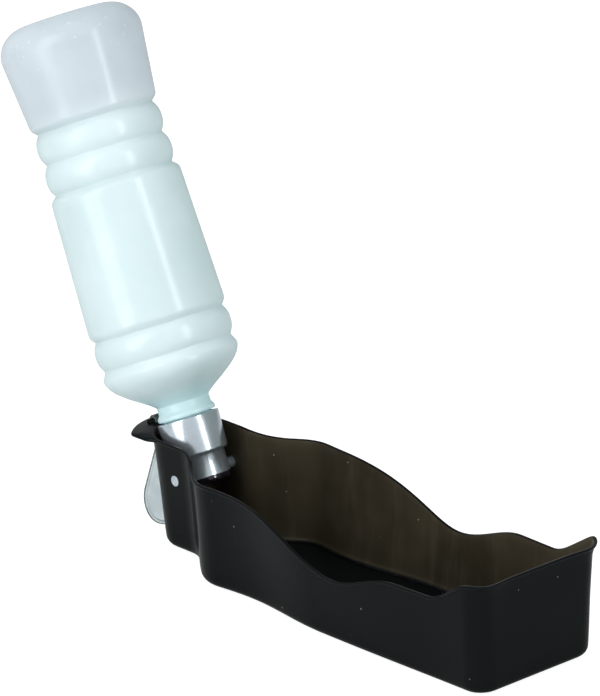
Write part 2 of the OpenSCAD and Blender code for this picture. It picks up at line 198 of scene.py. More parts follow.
def cut(ob, tool):
    """Takes tool out of ob and removes it."""
    m = ob.modifiers.new("cut", "BOOLEAN")
    m.operation = "DIFFERENCE"
    m.solver = "EXACT"
    m.object = tool
    bpy.context.view_layer.objects.active = ob
    bpy.ops.object.select_all(action="DESELECT")
    ob.select_set(True)
    bpy.ops.object.modifier_apply(modifier=m.name)
    bpy.data.objects.remove(tool, do_unlink=True)


def box_mesh(name, lo, hi):
    v = [(x, y, z) for x in (lo[0], hi[0]) for y in (lo[1], hi[1]) for z in (lo[2], hi[2])]
    f = [(0, 1, 3, 2), (4, 6, 7, 5), (0, 4, 5, 1), (2, 3, 7, 6), (0, 2, 6, 4), (1, 5, 7, 3)]
    return add_mesh(name, v, f)


def smooth_by_angle(ob, deg):
    """Sharp edges above the angle, smooth below it."""
    me = ob.data
    bm = bmesh.new()
    bm.from_mesh(me)
    limit = math.radians(deg)
    for e in bm.edges:
        e.smooth = len(e.link_faces) == 2 and e.calc_face_angle(0.0) <= limit
    bm.to_mesh(me)
    bm.free()
    for p in me.polygons:
        p.use_smooth = True


# ---------------------------------------------------------------- trough
def throat_w(z):
    """Half width of the throat at height z."""
    return mix(THROAT_LOW, THROAT_HIGH, z / THROAT_RIM)


def half_w(x, z):
    """Half width of the trough at x and height z."""
    u = z / THROAT_RIM
    taper = mix(FLOOR_TAPER, BASIN_TAPER, u) * smooth((x - DIP_X) / (REACH - DIP_X))
    basin = mix(BASIN_LOW, BASIN_HIGH, u) - taper
    waist = WAIST_D * bell((x - WAIST_X + WAIST_LEAN * u) / WAIST_L)
    along = (x - SHOULDER_X - SHOULDER_LEAN * u) / SHOULDER_L
    return mix(throat_w(z), basin - waist, ramp(along, SHOULDER_BEND))


def end_x(z):
    """Where the end wall stands at height z."""
    return REACH + END_LEAN * z / THROAT_RIM


BACK_N, SIDE_N, CORNER_N, END_N = 22, 150, 14, 16      # stations along each stretch of the half outline
HALF_N = BACK_N + SIDE_N + CORNER_N + END_N
FLARE, FLARE_MID, FLARE_H = 1.3, 0.45, 5.0     # the rim turns outwards at the end corners, less between them
FLARE_SIDE_N, FLARE_END_N = 9, 7               # stations over which the flare dies out
LIP, LIP_H, LIP_TOP = 0.55, 2.0, 0.55          # the rolled rim: how far out, how high, its rounded top
INNER_ROUND = 3.1                              # inside edge of the floor


def station(i, z, d):
    """Point i of the half outline at height z, moved in by d."""
    r = throat_w(z)
    xc = end_x(z) - CORNER_R
    if i <= BACK_N:
        a = math.radians(180 - 90 * i / BACK_N)
        return (-THROAT_BACK + (r - d) * math.cos(a), (r - d) * math.sin(a))
    if i <= BACK_N + SIDE_N:
        x = mix(-THROAT_BACK, xc, (i - BACK_N) / SIDE_N)
        k = (half_w(x + 0.2, z) - half_w(x - 0.2, z)) / 0.4
        m = math.hypot(1, k)
        return (x + d * k / m, half_w(x, z) - d / m)
    yc = half_w(xc, z) - CORNER_R
    if i <= BACK_N + SIDE_N + CORNER_N:
        a = math.radians(90 - 90 * (i - BACK_N - SIDE_N) / CORNER_N)
        return (xc + (CORNER_R - d) * math.cos(a), yc + (CORNER_R - d) * math.sin(a))
    t = (i - BACK_N - SIDE_N - CORNER_N) / END_N
    return (xc + CORNER_R - d, yc * (1 - t))


def flare(i):
    """How far the rim stands out at station i."""
    if i <= BACK_N + SIDE_N:
        return FLARE * smooth(1 - (BACK_N + SIDE_N - i) / FLARE_SIDE_N)
    if i <= BACK_N + SIDE_N + CORNER_N:
        return FLARE
    return mix(FLARE, FLARE_MID, smooth((i - BACK_N - SIDE_N - CORNER_N) / FLARE_END_N))


def rim_z(x):
    """Height of the rim at x: a step after the throat, a dip, a hump and a climb to the end wall's ears."""
    if x < DIP_X:
        z = mix(THROAT_RIM, BASIN_RIM, smooth((x - STEP_X) / STEP_L))
        z -= (BASIN_RIM - DIP_RIM) * smooth(max(0.0, (x - FALL_X) / (DIP_X - FALL_X)) ** 1.5)
    else:
        z = mix(DIP_RIM, HUMP_RIM, smooth((x - DIP_X) / (HUMP_X - DIP_X)))
        z += (END_RIM - HUMP_RIM) * smooth((x - CLIMB_X) / CLIMB_L)
        z += EAR_H * bell((x - EAR_X) / EAR_L)
    return z


def station_rim(i):
    """Height of the rim at station i. The wall leans, so its x depends on the height too."""
    z = 50.0
    for _ in range(6):
        z = rim_z(station(i, z, 0.0)[0])
    return z


def trough_mesh():
    """One skin: from the floor's outside up the outer wall, over the rim and down to the floor's inside."""
    in_lip = LIP * 0.3       # the rim is this much thicker on the inside
    rows = []                # each row gives (height, inset) from the height zr of the rim
    for k in range(7):       # outer rounded edge
        a = math.radians(90 * k / 6)
        up, to = FLOOR_ROUND * (1 - math.cos(a)), FLOOR_ROUND * (1 - math.sin(a))
        rows.append(lambda zr, up=up, to=to: (up, to))
    for k in range(1, 13):   # outer wall
        rows.append(lambda zr, t=k / 13: (mix(FLOOR_ROUND, zr - LIP_H, t), LIP * smooth(t * 1.6)))
    for k in range(9):       # rolled outer lip
        a = math.radians(-90 + 180 * k / 8)
        out = LIP if math.sin(a) < 0 else LIP * 0.55
        rows.append(lambda zr, a=a, out=out: (zr - LIP_H / 2 * (1 - math.sin(a)), out * (1 - math.cos(a))))
    for k in range(1, 6):    # over the top to the inside
        a = math.radians(90 * k / 5)
        rows.append(lambda zr, a=a: (zr - LIP_TOP * (1 - math.cos(a)),
                                     WALL + in_lip - (WALL - LIP * 0.25) * (1 - math.sin(a))))
    for k in range(1, 13):   # inner wall
        rows.append(lambda zr, t=k / 13: (mix(zr - 0.6, WALL + INNER_ROUND, t),
                                          mix(WALL + in_lip, WALL, min(1.0, t * 4))))
    for k in range(7):       # inner rounded edge
        a = math.radians(90 - 90 * k / 6)
        up, to = WALL + INNER_ROUND * (1 - math.cos(a)), WALL + INNER_ROUND * (1 - math.sin(a))
        rows.append(lambda zr, up=up, to=to: (up, to))
    zr = [station_rim(i) for i in range(HALF_N + 1)]
    verts = []
    ring_n = 2 * HALF_N
    for row in rows:
        half = []
        for i in range(HALF_N + 1):
            z, d = row(zr[i])
            d -= flare(i) * smooth((z - zr[i] + FLARE_H) / FLARE_H)
            x, y = station(i, z, d)
            half.append((x, y, z))
        verts += half + [(x, -y, z) for x, y, z in reversed(half[1:-1])]
    faces = skin(len(rows), ring_n)
    for o in (0, (len(rows) - 1) * ring_n):      # floor, outside and inside
        for i in range(HALF_N):
            if i == 0:
                faces.append((o, o + 1, o + ring_n - 1))
            elif i == HALF_N - 1:
                faces.append((o + i, o + i + 1, o + i + 2))
            else:
                faces.append((o + i, o + i + 1, o + ring_n - i - 1, o + ring_n - i))
    return add_mesh("trough_shell", verts, faces)


def ring_plate(name, outer, inner, z0, z1, edge, n_edge=5):
    """Plate between two open polylines of equal length, with a rounded outer edge."""
    prof = [(z0, 0.0, True), (z0, 0.0, False)]      # height, how far out, on the inner line
    for k in range(n_edge + 1):
        a = math.radians(-90 + 180 * k / n_edge)
        prof.append(((z0 + z1) / 2 + (z1 - z0) / 2 * math.sin(a), edge * math.cos(a), False))
    prof += [(z1, 0.0, False), (z1, 0.0, True)]
    sections = []
    for at, by in zip(outer, inner):
        o, q = Vector(at), Vector(by)
        d = (o - q).normalized()
        spots = [(q if inside else o + d * (grow - edge), z) for z, grow, inside in prof]
        sections.append([(p.x, p.y, z) for p, z in spots])
    return sweep(name, sections)


def wall_mid(a):
    """Point in the middle of the throat wall, in direction a from the middle of its back."""
    r = THROAT_HIGH - WALL / 2
    if math.cos(a) <= 0:
        return (-THROAT_BACK + r * math.cos(a), r * math.sin(a))
    return (-THROAT_BACK + r * math.cos(a), math.copysign(r, math.sin(a)))


def ledge():
    """A round back edge between two straight sides that run into the throat's walls, with rounded corners."""
    xc = -LEDGE_BACK - math.sqrt(LEDGE_R ** 2 - LEDGE_W ** 2)      # where the round edge meets a side
    a0 = math.atan2(LEDGE_W, xc + LEDGE_BACK)
    # each side leaves the throat's wall in an S
    half = [(-9.6, 19.8), (-12.0, 21.06), (-15.0, LEDGE_W), (-19.0, LEDGE_W)]
    half += [(xc + 3, LEDGE_W), (xc, LEDGE_W)]
    half += [(-LEDGE_BACK + LEDGE_R * math.cos(a), LEDGE_R * math.sin(a))
             for a in (mix(a0, math.pi, i / 8) for i in range(1, 9))]
    pts = half + [(x, -y) for x, y in reversed(half[:-1])]
    outer = chaikin(pts, 3)
    inner = [wall_mid(math.atan2(y, x + THROAT_BACK)) for x, y in outer]
    return ring_plate("ledge_plate", outer, inner, THROAT_RIM - LEDGE_T, THROAT_RIM, 0.8)


wall_x = -THROAT_BACK - THROAT_HIGH
tongue_x = wall_x - BELT_GAP - CLIP_T
hook_r = BAR_R + SEAT_GAP + CLIP_T
bar_x = tongue_x + CLIP_T - hook_r
bar_z = THROAT_RIM + 0.2


def cylinder(name, r, y0, y1, x, z, n=48):
    """Cylinder along Y."""
    return sweep(name, [[(u, y, v) for u, v in circle(r, n, (x, z))] for y in (y0, y1)])


shell = trough_mesh()
cut(shell, cylinder("pin_hole", TRUNNION_R + TRUNNION_GAP, -40, 40, 0, PIVOT_Z))
plate = ledge()
for side in (0, 1):
    x0 = bar_x - hook_r - 2 * FIT_GAP + side * (hook_r + BAR_R + 2 * FIT_GAP)
    x1 = x0 + hook_r - BAR_R + 2 * FIT_GAP - side * FIT_GAP
    cut(plate, box_mesh("slot", (x0, -CLIP_W / 2 - FIT_GAP, THROAT_RIM - LEDGE_T - 1),
                        (x1, CLIP_W / 2 + FIT_GAP, THROAT_RIM + 1)))
bar = cylinder("clip_bar", BAR_R, -CLIP_W / 2 - 2.5, CLIP_W / 2 + 2.5, bar_x, bar_z, 32)
trough = join("trough_body", [shell, plate, bar])
smooth_by_angle(trough, 35)
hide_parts("trough")
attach(trough, "trough")


# ---------------------------------------------------------------- bottle
def crest(s0, s1, r0, r1, h, n=14):
    """Rib of height h between the grooves at s0 and s1, whose radii are r0 and r1."""
    pts = []
    for i in range(n + 1):
        t = i / n
        pts.append((mix(r0, r1, t) + h * (1 - abs(2 * t - 1) ** 2.4), mix(s0, s1, t)))
    return pts


skirt_top = SKIRT_S + SKIRT_L
floor_s = SKIRT_S + CAP_FLOOR
mouth_s = floor_s + WASHER_T + 0.1
neck_end = skirt_top + 7.9
shoulder_end = FIRST_GROOVE - 4
second_groove = FIRST_GROOVE + RIB_PITCH
foot_rib_1 = LAST_GROOVE - 2 * FOOT_RIB_PITCH
foot_rib_2 = LAST_GROOVE - FOOT_RIB_PITCH
near_groove = BODY_NEAR_R - GROOVE_D + 0.2
far_groove = BODY_FAR_R - GROOVE_D - 0.7


def bottle_outline():
    """Outside of the bottle as (radius, s), from its mouth to the middle of its base."""
    neck = [(NECK_R, mouth_s), (NECK_R, skirt_top + 0.5)]
    bead = [(NECK_R + 0.2, skirt_top + 0.75), (BEAD_NECK_R - 0.4, skirt_top + 0.8),
            (BEAD_NECK_R, skirt_top + 1.2), (BEAD_NECK_R, skirt_top + 2.8),
            (BEAD_NECK_R - 0.5, skirt_top + 3.3), (NECK_R + 1.2, skirt_top + 4.4)]
    shoulder = []
    for i in range(25):
        t = i / 24
        shoulder.append((mix(NECK_R + 1.1, SHOULDER_R, math.sin(math.radians(90 * t ** 0.9)) ** 1.35),
                         mix(neck_end, shoulder_end, t)))
    edge = 4.0               # length of the curve out of a groove

    def lead(a, b, i):
        return mix(a, b, math.sin(math.radians(90 * i / 6)))

    body = [(lead(near_groove, BODY_NEAR_R, i), second_groove + edge * i / 6) for i in range(1, 6)]
    body += [(mix(BODY_NEAR_R, BODY_FAR_R, i / 14), mix(second_groove + edge, foot_rib_1 - edge, i / 14))
             for i in range(15)]
    body += [(lead(far_groove, BODY_FAR_R, i), foot_rib_1 - edge * i / 6) for i in range(5, 0, -1)]
    foot = [(lead(far_groove - 0.5, FOOT_NEAR_R, i), LAST_GROOVE + edge * i / 6) for i in range(1, 7)]
    s0, s1 = LAST_GROOVE + edge, BOTTLE_REACH - FOOT_ROUND_L
    foot += [(mix(FOOT_NEAR_R, FOOT_R, i / 10), mix(s0, s1, i / 10)) for i in range(1, 11)]
    for i in range(1, 17):
        a = math.radians(90 * i / 16)
        foot.append((FOOT_R - FOOT_ROUND * (1 - math.cos(a)), s1 + FOOT_ROUND_L * math.sin(a)))
    base = [(FOOT_R - FOOT_ROUND - 3, BOTTLE_REACH - 0.2), (14, BOTTLE_REACH - 2.4),
            (11, BOTTLE_REACH - PUNT_D), (0, BOTTLE_REACH - PUNT_D)]
    mid = (shoulder + crest(FIRST_GROOVE, second_groove, near_groove - 0.2, near_groove, GROOVE_D - 0.2)
           + body + crest(foot_rib_1, foot_rib_2, far_groove, far_groove - 0.3, GROOVE_D)
           + crest(foot_rib_2, LAST_GROOVE, far_groove - 0.3, far_groove - 0.5, GROOVE_D)[1:] + foot + base)
    return neck + chaikin(bead, 1) + chaikin(mid, 2)


def inward(pts, d):
    """The outline moved in by d."""
    out = []
    for i, p in enumerate(pts):
        a, b = pts[max(i - 1, 0)], pts[min(i + 1, len(pts) - 1)]
        dr, ds = b[0] - a[0], b[1] - a[1]
        m = math.hypot(dr, ds) or 1.0
        out.append((max(0.0, p[0] - d * ds / m), p[1] + d * dr / m))
    return out


outline = bottle_outline()
inner = [(min(r, NECK_R - NECK_WALL) if s < neck_end else r, s) for r, s in inward(outline, BOTTLE_WALL)]
inner[0] = (NECK_R - NECK_WALL, mouth_s)
inner[-1] = (0.0, BOTTLE_REACH - PUNT_D - BOTTLE_WALL)
bottle_shell = lathe("bottle_shell", outline + list(reversed(inner)), 160)


def ridge(name, r0, r1, s0):
    """Thread: a ridge from r0 to its crest at r1 that starts at height s0 and fades in and out."""
    steps = int(48 * TURNS)
    sections = []
    sect = [(r0, -0.8), (mix(r0, r1, 0.8), -0.42), (r1, -0.2), (r1, 0.2), (mix(r0, r1, 0.8), 0.42), (r0, 0.8)]
    for i in range(steps + 1):
        a = 2 * math.pi * TURNS * i / steps
        fade = smooth(min(i, steps - i) / 5)
        rise = PITCH * TURNS * i / steps
        turned = [(mix(r0, r, fade), z) for r, z in sect]
        sections.append([(r * math.cos(a), r * math.sin(a), s0 + z + rise) for r, z in turned])
    ob = sweep(name, sections)
    ob.data.transform(ON_AXIS)
    return ob


thread_s = mouth_s + 3
bottle = join("bottle_body", [bottle_shell, ridge("neck_thread", NECK_R - 0.2, NECK_R + RIDGE_H, thread_s)])
smooth_by_angle(bottle, 40)
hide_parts("bottle")
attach(bottle, "bottle")

# ---------------------------------------------------------------- cap
skirt_in = NECK_R + RIDGE_H + THREAD_GAP
cap_prof = [(BARREL_R - BARREL_WALL, -BARREL_DROP), (BARREL_R - 0.25, -BARREL_DROP),
            (BARREL_R, -BARREL_DROP + 0.25), (BARREL_R, SKIRT_S - 0.9), (BARREL_R + 0.2, SKIRT_S - 0.55),
            (BARREL_R + 0.5, SKIRT_S - 0.3), (SKIRT_LOW_R - 0.9, SKIRT_S - 0.12),
            (SKIRT_LOW_R - 0.35, SKIRT_S + 0.1), (SKIRT_LOW_R, SKIRT_S + 0.55),
            (SKIRT_LOW_R + 0.06, SKIRT_S + 1.2), (mix(SKIRT_LOW_R, SKIRT_R, 0.5), SKIRT_S + SKIRT_L / 2),
            (SKIRT_R, skirt_top - 0.5), (SKIRT_R - 0.12, skirt_top - 0.15), (SKIRT_R - 0.45, skirt_top),
            (skirt_in + 0.2, skirt_top), (skirt_in, skirt_top - 0.2), (skirt_in, floor_s),
            (CAP_BORE_R, floor_s), (CAP_BORE_R, SKIRT_S - 1), (BARREL_R - BARREL_WALL, SKIRT_S - 2.5)]
cap_shell = lathe("cap_shell", cap_prof, 128)


def trunnion(side):
    """Pin from the barrel to the throat's outside, with a dished end."""
    r, y1, n = TRUNNION_R, half_w(0, PIVOT_Z), 40
    verts, faces, rings = [], [], []
    prof = [(0.0, BARREL_R - 1), (r, BARREL_R - 1), (r, y1 - 0.35), (r - 0.1, y1 - 0.1), (r - 0.35, y1),
            (r - 1.1, y1), (r - 1.3, y1 - 0.25), (0.0, y1 - 0.25)]
    for rr, y in prof:
        if rr == 0.0:
            rings.append([len(verts)])
            verts.append((0, side * y, 0))
        else:
            rings.append(list(range(len(verts), len(verts) + n)))
            verts += [(u, side * y, v) for u, v in circle(rr, n)]
    for a, b in zip(rings[:-1], rings[1:]):
        faces += bridge(a, b, n)
    ob = add_mesh("trunnion", verts, faces)
    ob.data.transform(ON_AXIS)
    return ob


cap = join("cap_body", [cap_shell, trunnion(-1), trunnion(1),
                        ridge("cap_thread", skirt_in + 0.2, skirt_in - RIDGE_H, thread_s + PITCH / 2)])
smooth_by_angle(cap, 40)
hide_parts("cap")
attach(cap, "cap")

# ---------------------------------------------------------------- valve ring, valve and washer
ring_in = BARREL_R - BARREL_WALL - 0.05
ring_low = -BARREL_DROP - RING_LIP
ring_prof = [(OUTLET_R, ring_low + 0.5), (OUTLET_R + 0.5, ring_low), (BARREL_R - 1.3, ring_low),
             (BARREL_R - 0.75, ring_low + 0.2), (BARREL_R - 0.45, ring_low + 0.55),
             (BARREL_R - 0.32, -BARREL_DROP - 0.9), (BARREL_R - 0.3, -BARREL_DROP - 0.2),
             (BARREL_R - 0.45, -BARREL_DROP - 0.05), (ring_in, -BARREL_DROP - 0.05),
             (ring_in, -BARREL_DROP + 1.2), (OUTLET_R, -BARREL_DROP + 1.2)]
ring = lathe("valve_ring_body", ring_prof, 96)
smooth_by_angle(ring, 45)
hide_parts("valve_ring")
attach(ring, "cap")


# ---------------------------------------------------------------- belt clip
TONGUE_MID, TONGUE_LOW = 20.0, 2.6      # middle and lowest point of the round end
STRAP_Z = 46.0                          # where the tongue has narrowed to the strap
RECESS, BEAD = 0.45, 0.3                # how far the inner and the outer face lie below the bead
RIB_L, RIB_W0, RIB_W1 = 28.5, 2.6, 3.4  # length and half widths
NUB_Z, NUB_R = 17.0, 2.2
outer_x, inner_x = tongue_x, tongue_x + CLIP_T


def drop_outline(n=64):
    """The tongue's outline as (y, z): a round end that narrows to the strap."""
    ht = CLIP_W / 2
    up = STRAP_Z - TONGUE_MID
    a0 = math.atan2(up, ht) - math.acos(TONGUE_R / math.hypot(ht, up))      # tangent from the strap's corner
    pts = []
    for i in range(n + 1):
        a = mix(a0, -math.pi - a0, i / n)
        rise = TONGUE_R * math.sin(a)
        if rise < 0:
            rise *= (TONGUE_MID - TONGUE_LOW) / TONGUE_R
        pts.append((TONGUE_R * math.cos(a), TONGUE_MID + rise))
    return [(ht, STRAP_Z)] + pts + [(-ht, STRAP_Z)]


def inset(p, d):
    """Point of the outline moved in by d: towards the drop's middle, or straight across at the strap."""
    y, z = p
    v = Vector((-y, 24.0 - z)).normalized()
    if z > STRAP_Z - 2:
        v = Vector((-math.copysign(1, y), 0))
    return (y + v.x * d, z + v.y * d)


def tongue_mesh():
    """Drop with a raised bead round its edge, and a recess inside the bead."""
    pts = drop_outline()
    n = len(pts)
    xo, xi = outer_x, inner_x
    # from the outer face's middle, over the bead and round the edge, to the inner face's middle
    prof = [(3.4, xo + BEAD), (2.5, xo + BEAD), (2.1, xo + 0.19), (1.7, xo + 0.05), (1.2, xo),
            (0.7, xo + 0.05), (0.25, xo + 0.22), (0.0, xo + 0.56), (0.2, xo + 0.94), (0.6, xi - 0.06),
            (1.0, xi), (1.5, xi - 0.05), (1.8, xi - 0.35), (2.1, xi - RECESS), (3.4, xi - RECESS)]
    verts = [(x,) + inset(p, d) for d, x in prof for p in pts]
    m = len(prof)
    faces = skin(m, n, closed=False)
    for o in (0, (m - 1) * n):      # the two faces, in strips from side to side
        for i in range((n - 1) // 2):
            q = (o + i, o + i + 1, o + n - 2 - i, o + n - 1 - i)
            if len(set(q)) > 2:
                faces.append(tuple(dict.fromkeys(q)))
    faces += [tuple(j * n + i for j in range(m)) for i in (0, n - 1)]
    return add_mesh("tongue", verts, faces)


def strap_mesh():
    """Ribbon from the tongue over the bar, with a short leg behind it."""
    rm = hook_r - CLIP_T / 2
    path = [(tongue_x + CLIP_T / 2, STRAP_Z - 0.5), (tongue_x + CLIP_T / 2, bar_z)]
    for i in range(1, 24):
        a = math.pi * i / 24
        path.append((bar_x + rm * math.cos(a), bar_z + rm * math.sin(a)))
    path += [(bar_x - rm, bar_z), (bar_x - rm, bar_z - 5.2), (bar_x - rm - 0.2, bar_z - 6.0)]
    h, t, e = CLIP_W / 2, CLIP_T / 2, 0.4
    sect = [(-h + e, -t), (h - e, -t), (h, -t + e), (h, t - e),
            (h - e, t), (-h + e, t), (-h, t - e), (-h, -t + e)]
    sections = []
    for i, (x, z) in enumerate(path):
        a, b = path[max(i - 1, 0)], path[min(i + 1, len(path) - 1)]
        d = Vector((b[0] - a[0], b[1] - a[1])).normalized()
        sections.append([(x + d.y * o, y, z - d.x * o) for y, o in sect])
    return sweep("strap", sections)


def rib_mesh():
    """Rib down the middle of the inner face, to the nub."""
    sections = []
    for i in range(21):
        w = mix(RIB_W0, RIB_W1, i / 20)
        sect = ((-w, -RECESS), (-w + 0.5, 0.2), (w - 0.5, 0.2), (w, -RECESS))
        sections.append([(inner_x + x, y, STRAP_Z - RIB_L * i / 20) for y, x in sect])
    return sweep("rib", sections)


def nub_mesh():
    """Round nub that holds the belt."""
    n = 32
    prof = ((NUB_R, -RECESS), (NUB_R, 1.0), (NUB_R - 0.3, 1.4), (NUB_R - 1.0, 1.6), (0.0, 1.62))
    verts = [(inner_x + x, y, z) for r, x in prof for y, z in circle(r, n, (0.0, NUB_Z))]
    return add_mesh("nub", verts, skin(len(prof), n) + [tuple(range(n))])


clip = join("belt_clip_body", [tongue_mesh(), strap_mesh(), rib_mesh(), nub_mesh()])
smooth_by_angle(clip, 50)
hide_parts("belt_clip")
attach(clip, "clip")


# ---------------------------------------------------------------- materials
class Nodes:
    """Small builder for a procedural material, or for the world."""

    def __init__(self, name, world=False):
        self.owner = bpy.data.worlds.new(name) if world else bpy.data.materials.new(name)
        self.owner.use_nodes = True
        self.tree = self.owner.node_tree
        self.tree.nodes.clear()
        self.out = self.add("OutputWorld" if world else "OutputMaterial")

    def add(self, kind, **props):
        n = self.tree.nodes.new("ShaderNode" + kind)
        for k, v in props.items():
            setattr(n, k, v)
        return n

    def link(self, a, b):
        self.tree.links.new(a, b)

    def put(self, socket, v):
        if isinstance(v, bpy.types.NodeSocket):
            self.link(v, socket)
        else:
            socket.default_value = v

    def math(self, op, a, b=0.0):
        n = self.add("Math", operation=op)
        self.put(n.inputs[0], a)
        self.put(n.inputs[1], b)
        return n.outputs[0]

    def map(self, v, a, b, c=0.0, d=1.0, kind="SMOOTHSTEP"):
        n = self.add("MapRange", interpolation_type=kind)
        self.put(n.inputs[0], v)
        for i, w in enumerate((a, b, c, d)):
            self.put(n.inputs[1 + i], w)
        return n.outputs[0]

    def noise(self, vec, scale, detail=3.0, rough=0.5):
        n = self.add("TexNoise")
        self.link(vec, n.inputs["Vector"])
        n.inputs["Scale"].default_value = scale
        n.inputs["Detail"].default_value = detail
        n.inputs["Roughness"].default_value = rough
        return n.outputs["Fac"]

    def mixc(self, fac, a, b):
        n = self.add("Mix", data_type="RGBA")
        self.put(n.inputs[0], fac)
        self.put(n.inputs[6], a)
        self.put(n.inputs[7], b)
        return n.outputs[2]

    def blend(self, fac, a, b):
        """Mix of two shader nodes."""
        n = self.add("MixShader")
        self.put(n.inputs[0], fac)
        self.link(a.outputs[0], n.inputs[1])
        self.link(b.outputs[0], n.inputs[2])
        return n

    def coloured(self, kind, col):
        """Shader node of one colour."""
        n = self.add(kind)
        self.put(n.inputs["Color"], col)
        return n

    def xyz(self, vec):
        """The three parts of a vector."""
        n = self.add("SeparateXYZ")
        self.link(vec, n.inputs[0])
        return list(n.outputs)

    def cells(self, vec, scale):
        """Distance from the middle of the nearest cell, and that cell's random number."""
        n = self.add("TexVoronoi", feature="F1")
        self.link(vec, n.inputs["Vector"])
        n.inputs["Scale"].default_value = scale
        rnd = self.add("SeparateColor")
        self.link(n.outputs["Color"], rnd.inputs[0])
        return n.outputs["Distance"], rnd.outputs[0]

    def coords(self):
        """Place and normal of the surface, both in the object's own frame."""
        t = self.add("TexCoord")
        return t.outputs["Object"], t.outputs["Normal"]

    def scaled(self, vec, k):
        n = self.add("Mapping")
        self.link(vec, n.inputs[0])
        n.inputs["Scale"].default_value = k
        return n.outputs[0]

    def bump(self, height, strength, dist):
        n = self.add("Bump")
        self.put(n.inputs["Height"], height)
        n.inputs["Strength"].default_value = strength
        n.inputs["Distance"].default_value = dist
        return n.outputs[0]

    def principled(self, **kw):
        n = self.add("BsdfPrincipled")
        for k, v in kw.items():
            self.put(n.inputs[k.replace("_", " ")], v)
        return n

    def done(self, shader):
        """Ends the tree in the shader's socket."""
        self.link(shader, self.out.inputs["Surface"])
        return self.owner


def rgb(r, g, b):
    """Linear colour from display values of 0 to 255."""
    shares = [v / 255 for v in (r, g, b)]
    return tuple(v / 12.92 if v <= 0.04 else ((v + 0.055) / 1.055) ** 2.4 for v in shares) + (1.0,)


def trough_material():
    m = Nodes("trough_plastic")
    p, nrm = m.coords()
    x, y, z = m.xyz(p)
    nx, ny, nz = m.xyz(nrm)
    # inside or outside: does the surface face the trough's middle line, which runs from back to end?
    back, end = -0.0086, 0.212
    cx = m.math("SUBTRACT", x, m.math("MINIMUM", m.math("MAXIMUM", x, back), end))
    toward = m.math("ADD", m.math("MULTIPLY", cx, nx), m.math("MULTIPLY", y, ny))
    inside = m.map(toward, 0.002, -0.004)
    wide = m.noise(p, 9.0, 2.0)
    fine = m.noise(p, 900.0, 4.0, 0.6)
    grain = m.noise(p, 4200.0, 2.0)
    outer = m.mixc(m.map(wide, 0.35, 0.65), rgb(15, 18, 18), rgb(11, 14, 15))
    # painted light: the inside faces get a lighter brown colour that stands in for light glowing through the
    # thin walls, in soft upright streaks
    streak = m.noise(m.scaled(p, (120.0, 120.0, 9.0)), 1.0, 4.0, 0.6)
    glow = m.noise(m.scaled(p, (15.0, 15.0, 13.0)), 1.0, 3.0, 0.6)
    inside_painted_glow = m.mixc(m.map(glow, 0.34, 0.66), rgb(42, 38, 29), rgb(59, 54, 43))
    inside_painted_glow = m.mixc(m.math("MULTIPLY", m.map(streak, 0.5, 0.72), 0.14), inside_painted_glow, rgb(84, 80, 70))
    # the floor and the faces turned up inside are drawn near black, without the painted glow
    low = m.map(z, 0.0030, 0.0012)
    inside_painted_glow = m.mixc(m.math("MAXIMUM", low, m.map(nz, 0.5, 0.85)), inside_painted_glow, rgb(5, 5, 6))
    col = m.mixc(inside, outer, inside_painted_glow)
    # dust: few, small, pale specks
    away, rnd = m.cells(p, 220.0)
    dust = m.math("MULTIPLY", m.map(away, 0.11, 0.05), m.map(rnd, 0.925, 0.935))
    col = m.mixc(m.math("MULTIPLY", dust, 0.7), col, rgb(140, 144, 146))
    rough = m.math("ADD", m.map(fine, 0.3, 0.7, 0.17, 0.24, "LINEAR"), m.math("MULTIPLY", dust, 0.3))
    bs = m.principled(Base_Color=col, Roughness=rough, IOR=1.49)
    bs.inputs["Specular IOR Level"].default_value = 0.08
    h = m.math("ADD", m.math("MULTIPLY", wide, 3.0), m.math("MULTIPLY", grain, 0.06))
    m.link(m.bump(h, 0.25, 0.0003), bs.inputs["Normal"])
    return m.done(m.blend(0.36, bs, m.coloured("BsdfDiffuse", col)).outputs[0])


def along_axis(m, p):
    """Distance from the fold axis along the bottle, in mm, and the point in the bottle's own frame."""
    sub = m.add("VectorMath", operation="SUBTRACT")
    m.link(p, sub.inputs[0])
    sub.inputs[1].default_value = tuple(FOLD * MM)
    dot = m.add("VectorMath", operation="DOT_PRODUCT")
    m.link(sub.outputs[0], dot.inputs[0])
    dot.inputs[1].default_value = tuple(AX)
    rot = m.add("VectorRotate", rotation_type="Y_AXIS")
    m.link(sub.outputs[0], rot.inputs[0])
    rot.inputs["Angle"].default_value = math.radians(LEAN)
    return m.math("MULTIPLY", dot.outputs["Value"], 1000.0), rot.outputs[0]


